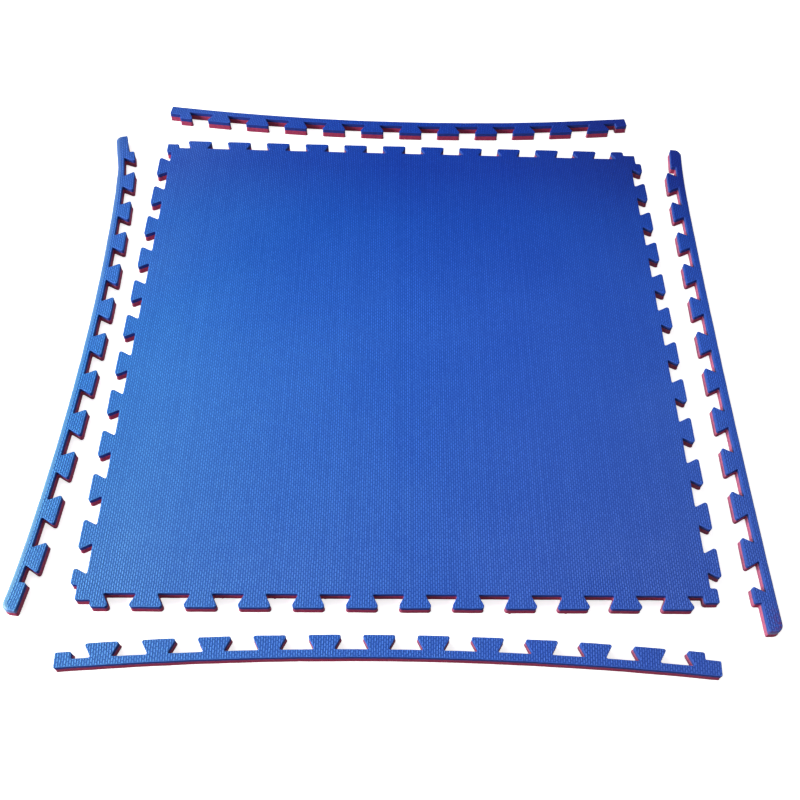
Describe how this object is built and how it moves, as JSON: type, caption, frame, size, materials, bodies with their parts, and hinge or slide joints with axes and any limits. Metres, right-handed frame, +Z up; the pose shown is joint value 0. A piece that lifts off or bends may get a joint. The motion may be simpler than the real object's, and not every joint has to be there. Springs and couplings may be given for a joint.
{
  "type": "foam jigsaw blocking mat",
  "caption": "Square foam jigsaw mat in two bonded colours, with four loose toothed edge strips laid around it; floor mat for blocking knitting.",
  "frame": {"origin": "middle of the mat's underside, on the floor", "axes": "+X to the right strip, +Y to the rear strip, +Z up out of the mat's upper face"},
  "size_m": [1.2091, 1.2317, 0.02],
  "materials": {
    "blue_foam": "matt embossed closed-cell foam",
    "red_foam": "matt closed-cell foam"
  },
  "bodies": {
    "mat": {"mat_top_layer": "blue_foam", "mat_bottom_layer": "red_foam"},
    "front_strip": {"front_strip_top_layer": "blue_foam", "front_strip_bottom_layer": "red_foam"},
    "rear_strip": {"rear_strip_top_layer": "blue_foam", "rear_strip_bottom_layer": "red_foam"},
    "left_strip": {"left_strip_top_layer": "blue_foam", "left_strip_bottom_layer": "red_foam"},
    "right_strip": {"right_strip_top_layer": "blue_foam", "right_strip_bottom_layer": "red_foam"}
  },
  "joints": [
    {"name": "front_strip_lift", "type": "slide", "parent": "mat", "child": "front_strip", "axis": [0.1721, 0.8037, 0.5696], "range_m": [0, 0.079]},
    {"name": "rear_strip_lift", "type": "slide", "parent": "mat", "child": "rear_strip", "axis": [0.0807, -0.8195, 0.5674], "range_m": [0, 0.0793]},
    {"name": "left_strip_lift", "type": "slide", "parent": "mat", "child": "left_strip", "axis": [0.7561, 0.0116, 0.6543], "range_m": [0, 0.0688]},
    {"name": "right_strip_lift", "type": "slide", "parent": "mat", "child": "right_strip", "axis": [-0.8099, 0.1976, 0.5522], "range_m": [0, 0.0815]}
  ]
}
